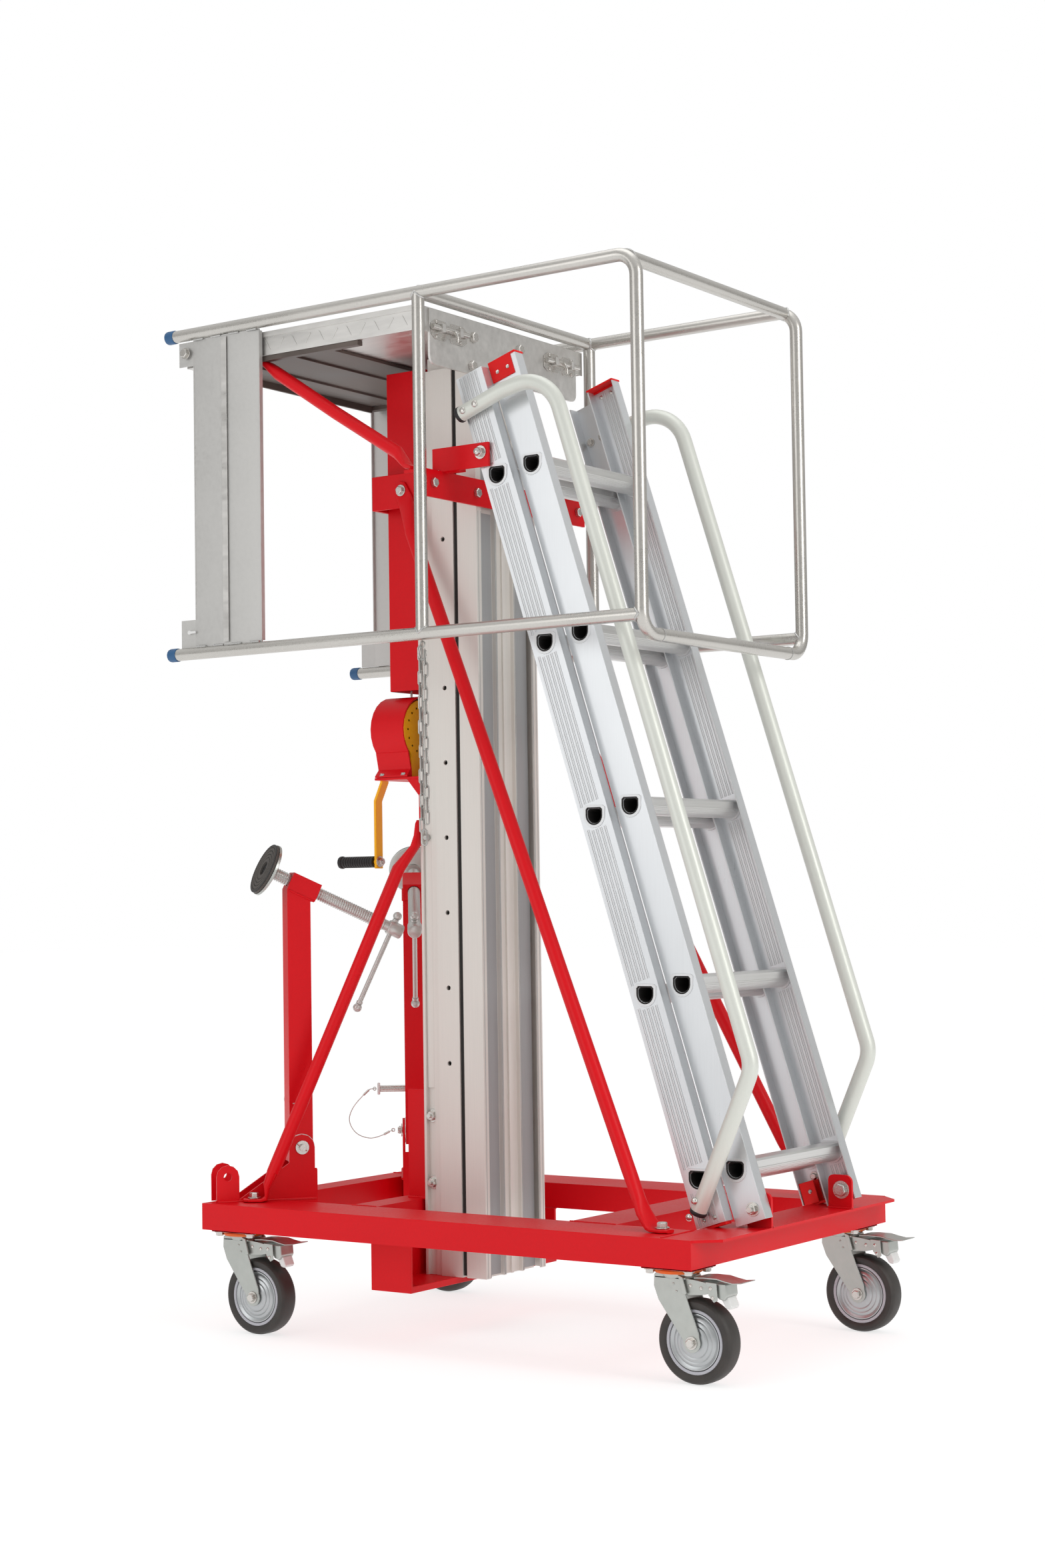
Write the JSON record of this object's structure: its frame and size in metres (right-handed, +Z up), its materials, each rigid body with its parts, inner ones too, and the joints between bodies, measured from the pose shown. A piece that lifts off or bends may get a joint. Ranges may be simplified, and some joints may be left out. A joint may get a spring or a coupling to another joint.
{
  "type": "mobile work platform",
  "caption": "Hand-winched mast platform on a castered base, with a folding guard cage, telescopic ladder and swing-out stabiliser legs.",
  "frame": {"origin": "on the floor under the middle of the outline", "axes": "+Z up, +X towards the ladder end, -X towards the winch end, -Y the side with the safety chain"},
  "size_m": [1.353, 0.742, 2.0425],
  "materials": {
    "red_paint": "satin gloss",
    "mast_aluminium": "anodised",
    "tube_aluminium": "brushed",
    "ladder_aluminium": "mill finish",
    "rail_grey": "satin",
    "sheet_metal": "matt sheet",
    "yellow_paint": "satin",
    "grip_black": "ribbed",
    "zinc": "zinc plated",
    "tyre_rubber": "matt"
  },
  "bodies": {
    "base": {"base_frame": "red_paint", "mast_foot_bracket": "red_paint", "mast_outer": "mast_aluminium", "cable_housing": "red_paint", "rear_collar": "red_paint", "winch_bracket": "red_paint", "winch_frame": "yellow_paint", "winch_cover": "red_paint", "brace_front_near": "red_paint", "brace_front_far": "red_paint", "brace_rear_near": "red_paint", "brace_rear_far": "red_paint"},
    "crank": {"winch_drum": "zinc", "winch_crank": "yellow_paint"},
    "grip": {"crank_grip": "grip_black"},
    "carriage": {"mast_inner": "mast_aluminium", "platform_deck": "sheet_metal", "front_panel": "sheet_metal", "ladder_bar": "red_paint", "brace_platform_near": "red_paint", "brace_platform_far": "red_paint"},
    "cage": {"cage_side_near": "tube_aluminium", "cage_side_far": "tube_aluminium", "cage_cross_mid": "tube_aluminium", "cage_cross_top": "tube_aluminium", "cage_cross_bottom": "tube_aluminium", "toe_board_near": "sheet_metal", "toe_board_far": "sheet_metal"},
    "chain": {"safety_chain": "zinc"},
    "ladder_base": {"ladder_lower": "ladder_aluminium"},
    "ladder_top": {"ladder_upper": "ladder_aluminium", "handrail_near": "rail_grey", "handrail_far": "rail_grey"},
    "leg_near": {"stabiliser_leg_near": "red_paint"},
    "jack_near": {"jack_screw_near": "zinc"},
    "tommy_near": {"tommy_bar_near": "zinc"},
    "pad_near": {"foot_pad_near": "zinc"},
    "pin_near": {"lock_pin_near": "zinc"},
    "latch_near": {"latch_bolt_near": "zinc"},
    "swivel_near_left": {"caster_fork_near_left": "zinc"},
    "wheel_near_left": {"caster_wheel_near_left": "tyre_rubber"},
    "pedal_near_left": {"brake_pedal_near_left": "zinc"},
    "swivel_near_right": {"caster_fork_near_right": "zinc"},
    "wheel_near_right": {"caster_wheel_near_right": "tyre_rubber"},
    "pedal_near_right": {"brake_pedal_near_right": "zinc"},
    "leg_far": {"stabiliser_leg_far": "red_paint"},
    "jack_far": {"jack_screw_far": "zinc"},
    "tommy_far": {"tommy_bar_far": "zinc"},
    "pad_far": {"foot_pad_far": "zinc"},
    "pin_far": {"lock_pin_far": "zinc", "pin_lanyard": "zinc"},
    "latch_far": {"latch_bolt_far": "zinc"},
    "swivel_far_left": {"caster_fork_far_left": "zinc"},
    "wheel_far_left": {"caster_wheel_far_left": "tyre_rubber"},
    "pedal_far_left": {"brake_pedal_far_left": "zinc"},
    "swivel_far_right": {"caster_fork_far_right": "zinc"},
    "wheel_far_right": {"caster_wheel_far_right": "tyre_rubber"},
    "pedal_far_right": {"brake_pedal_far_right": "zinc"}
  },
  "joints": [
    {"name": "mast_lift", "type": "slide", "parent": "base", "child": "carriage", "axis": [0, 0, 1], "range_m": [0, 1.2]},
    {"name": "winch_turn", "type": "hinge", "parent": "base", "child": "crank", "pos_m": [-0.2705, -0.045, 1.203], "axis": [1, 0, 0], "range_deg": [0, 2300]},
    {"name": "grip_spin", "type": "hinge", "parent": "crank", "child": "grip", "pos_m": [-0.3905, -0.045, 0.936], "axis": [1, 0, 0], "continuous": true},
    {"name": "cage_fold", "type": "hinge", "parent": "carriage", "child": "cage", "pos_m": [-0.6245, 0, 1.991], "axis": [0, -1, 0], "range_deg": [0, 90]},
    {"name": "chain_hang", "type": "hinge", "parent": "cage", "child": "chain", "pos_m": [-0.0235, -0.3, 1.341], "axis": [0, -1, 0], "range_deg": [-90, 0]},
    {"name": "ladder_tilt", "type": "hinge", "parent": "base", "child": "ladder_base", "pos_m": [0.6175, 0, 0.2935], "axis": [0, 1, 0], "range_deg": [0, 7.8]},
    {"name": "ladder_extend", "type": "slide", "parent": "ladder_base", "child": "ladder_top", "axis": [-0.3034, 0, 0.9529], "range_m": [0, 1.157]},
    {"name": "leg_fold_near", "type": "hinge", "parent": "base", "child": "leg_near", "pos_m": [-0.4325, -0.197, 0.3605], "axis": [0.7916, -0.611, 0], "range_deg": [0, 110]},
    {"name": "jack_travel_near", "type": "slide", "parent": "leg_near", "child": "jack_near", "axis": [-0.5529, -0.7163, 0.4258], "range_m": [0, 0.1]},
    {"name": "pad_swivel_near", "type": "hinge", "parent": "jack_near", "child": "pad_near", "pos_m": [-0.46291, -0.23639, 0.91642], "axis": [-0.5529, -0.7163, 0.4258], "continuous": true},
    {"name": "tommy_slide_near", "type": "slide", "parent": "jack_near", "child": "tommy_near", "axis": [0.2602, 0.3371, 0.9048], "range_m": [0, 0.14]},
    {"name": "pin_pull_near", "type": "slide", "parent": "leg_near", "child": "pin_near", "axis": [-0.7916, 0.611, 0], "range_m": [0, 0.06]},
    {"name": "latch_slide_near", "type": "slide", "parent": "carriage", "child": "latch_near", "axis": [0, -1, 0], "range_m": [0, 0.02]},
    {"name": "caster_swivel_near_left", "type": "hinge", "parent": "base", "child": "swivel_near_left", "pos_m": [-0.4775, -0.312, 0.19], "axis": [0, 0, 1], "continuous": true},
    {"name": "wheel_roll_near_left", "type": "hinge", "parent": "swivel_near_left", "child": "wheel_near_left", "pos_m": [-0.4365, -0.312, 0.075], "axis": [0, 1, 0], "continuous": true},
    {"name": "brake_pedal_near_left", "type": "hinge", "parent": "swivel_near_left", "child": "pedal_near_left", "pos_m": [-0.4395, -0.312, 0.172], "axis": [0, 1, 0], "range_deg": [0, 8]},
    {"name": "caster_swivel_near_right", "type": "hinge", "parent": "base", "child": "swivel_near_right", "pos_m": [0.5365, -0.312, 0.19], "axis": [0, 0, 1], "continuous": true},
    {"name": "wheel_roll_near_right", "type": "hinge", "parent": "swivel_near_right", "child": "wheel_near_right", "pos_m": [0.5775, -0.312, 0.075], "axis": [0, 1, 0], "continuous": true},
    {"name": "brake_pedal_near_right", "type": "hinge", "parent": "swivel_near_right", "child": "pedal_near_right", "pos_m": [0.5745, -0.312, 0.172], "axis": [0, 1, 0], "range_deg": [0, 8]},
    {"name": "leg_fold_far", "type": "hinge", "parent": "base", "child": "leg_far", "pos_m": [-0.4325, 0.197, 0.3605], "axis": [-0.7916, -0.611, 0], "range_deg": [0, 110]},
    {"name": "jack_travel_far", "type": "slide", "parent": "leg_far", "child": "jack_far", "axis": [-0.5529, 0.7163, 0.4258], "range_m": [0, 0.1]},
    {"name": "pad_swivel_far", "type": "hinge", "parent": "jack_far", "child": "pad_far", "pos_m": [-0.46291, 0.23639, 0.91642], "axis": [-0.5529, 0.7163, 0.4258], "continuous": true},
    {"name": "tommy_slide_far", "type": "slide", "parent": "jack_far", "child": "tommy_far", "axis": [0.2602, -0.3371, 0.9048], "range_m": [0, 0.14]},
    {"name": "pin_pull_far", "type": "slide", "parent": "leg_far", "child": "pin_far", "axis": [-0.7916, -0.611, 0], "range_m": [0, 0.06]},
    {"name": "latch_slide_far", "type": "slide", "parent": "carriage", "child": "latch_far", "axis": [0, 1, 0], "range_m": [0, 0.02]},
    {"name": "caster_swivel_far_left", "type": "hinge", "parent": "base", "child": "swivel_far_left", "pos_m": [-0.4775, 0.312, 0.19], "axis": [0, 0, 1], "continuous": true},
    {"name": "wheel_roll_far_left", "type": "hinge", "parent": "swivel_far_left", "child": "wheel_far_left", "pos_m": [-0.4365, 0.312, 0.075], "axis": [0, 1, 0], "continuous": true},
    {"name": "brake_pedal_far_left", "type": "hinge", "parent": "swivel_far_left", "child": "pedal_far_left", "pos_m": [-0.4395, 0.312, 0.172], "axis": [0, 1, 0], "range_deg": [0, 8]},
    {"name": "caster_swivel_far_right", "type": "hinge", "parent": "base", "child": "swivel_far_right", "pos_m": [0.5365, 0.312, 0.19], "axis": [0, 0, 1], "continuous": true},
    {"name": "wheel_roll_far_right", "type": "hinge", "parent": "swivel_far_right", "child": "wheel_far_right", "pos_m": [0.5775, 0.312, 0.075], "axis": [0, 1, 0], "continuous": true},
    {"name": "brake_pedal_far_right", "type": "hinge", "parent": "swivel_far_right", "child": "pedal_far_right", "pos_m": [0.5745, 0.312, 0.172], "axis": [0, 1, 0], "range_deg": [0, 8]}
  ],
  "couplings": [
    {"joint": "winch_turn", "follows": "mast_lift", "rad_per_m": 33.3},
    {"joint": "ladder_tilt", "follows": "mast_lift", "rad_per_m": 0.11316},
    {"joint": "ladder_extend", "follows": "mast_lift", "ratio": 0.963},
    {"joint": "chain_hang", "follows": "cage_fold", "ratio": -1}
  ]
}
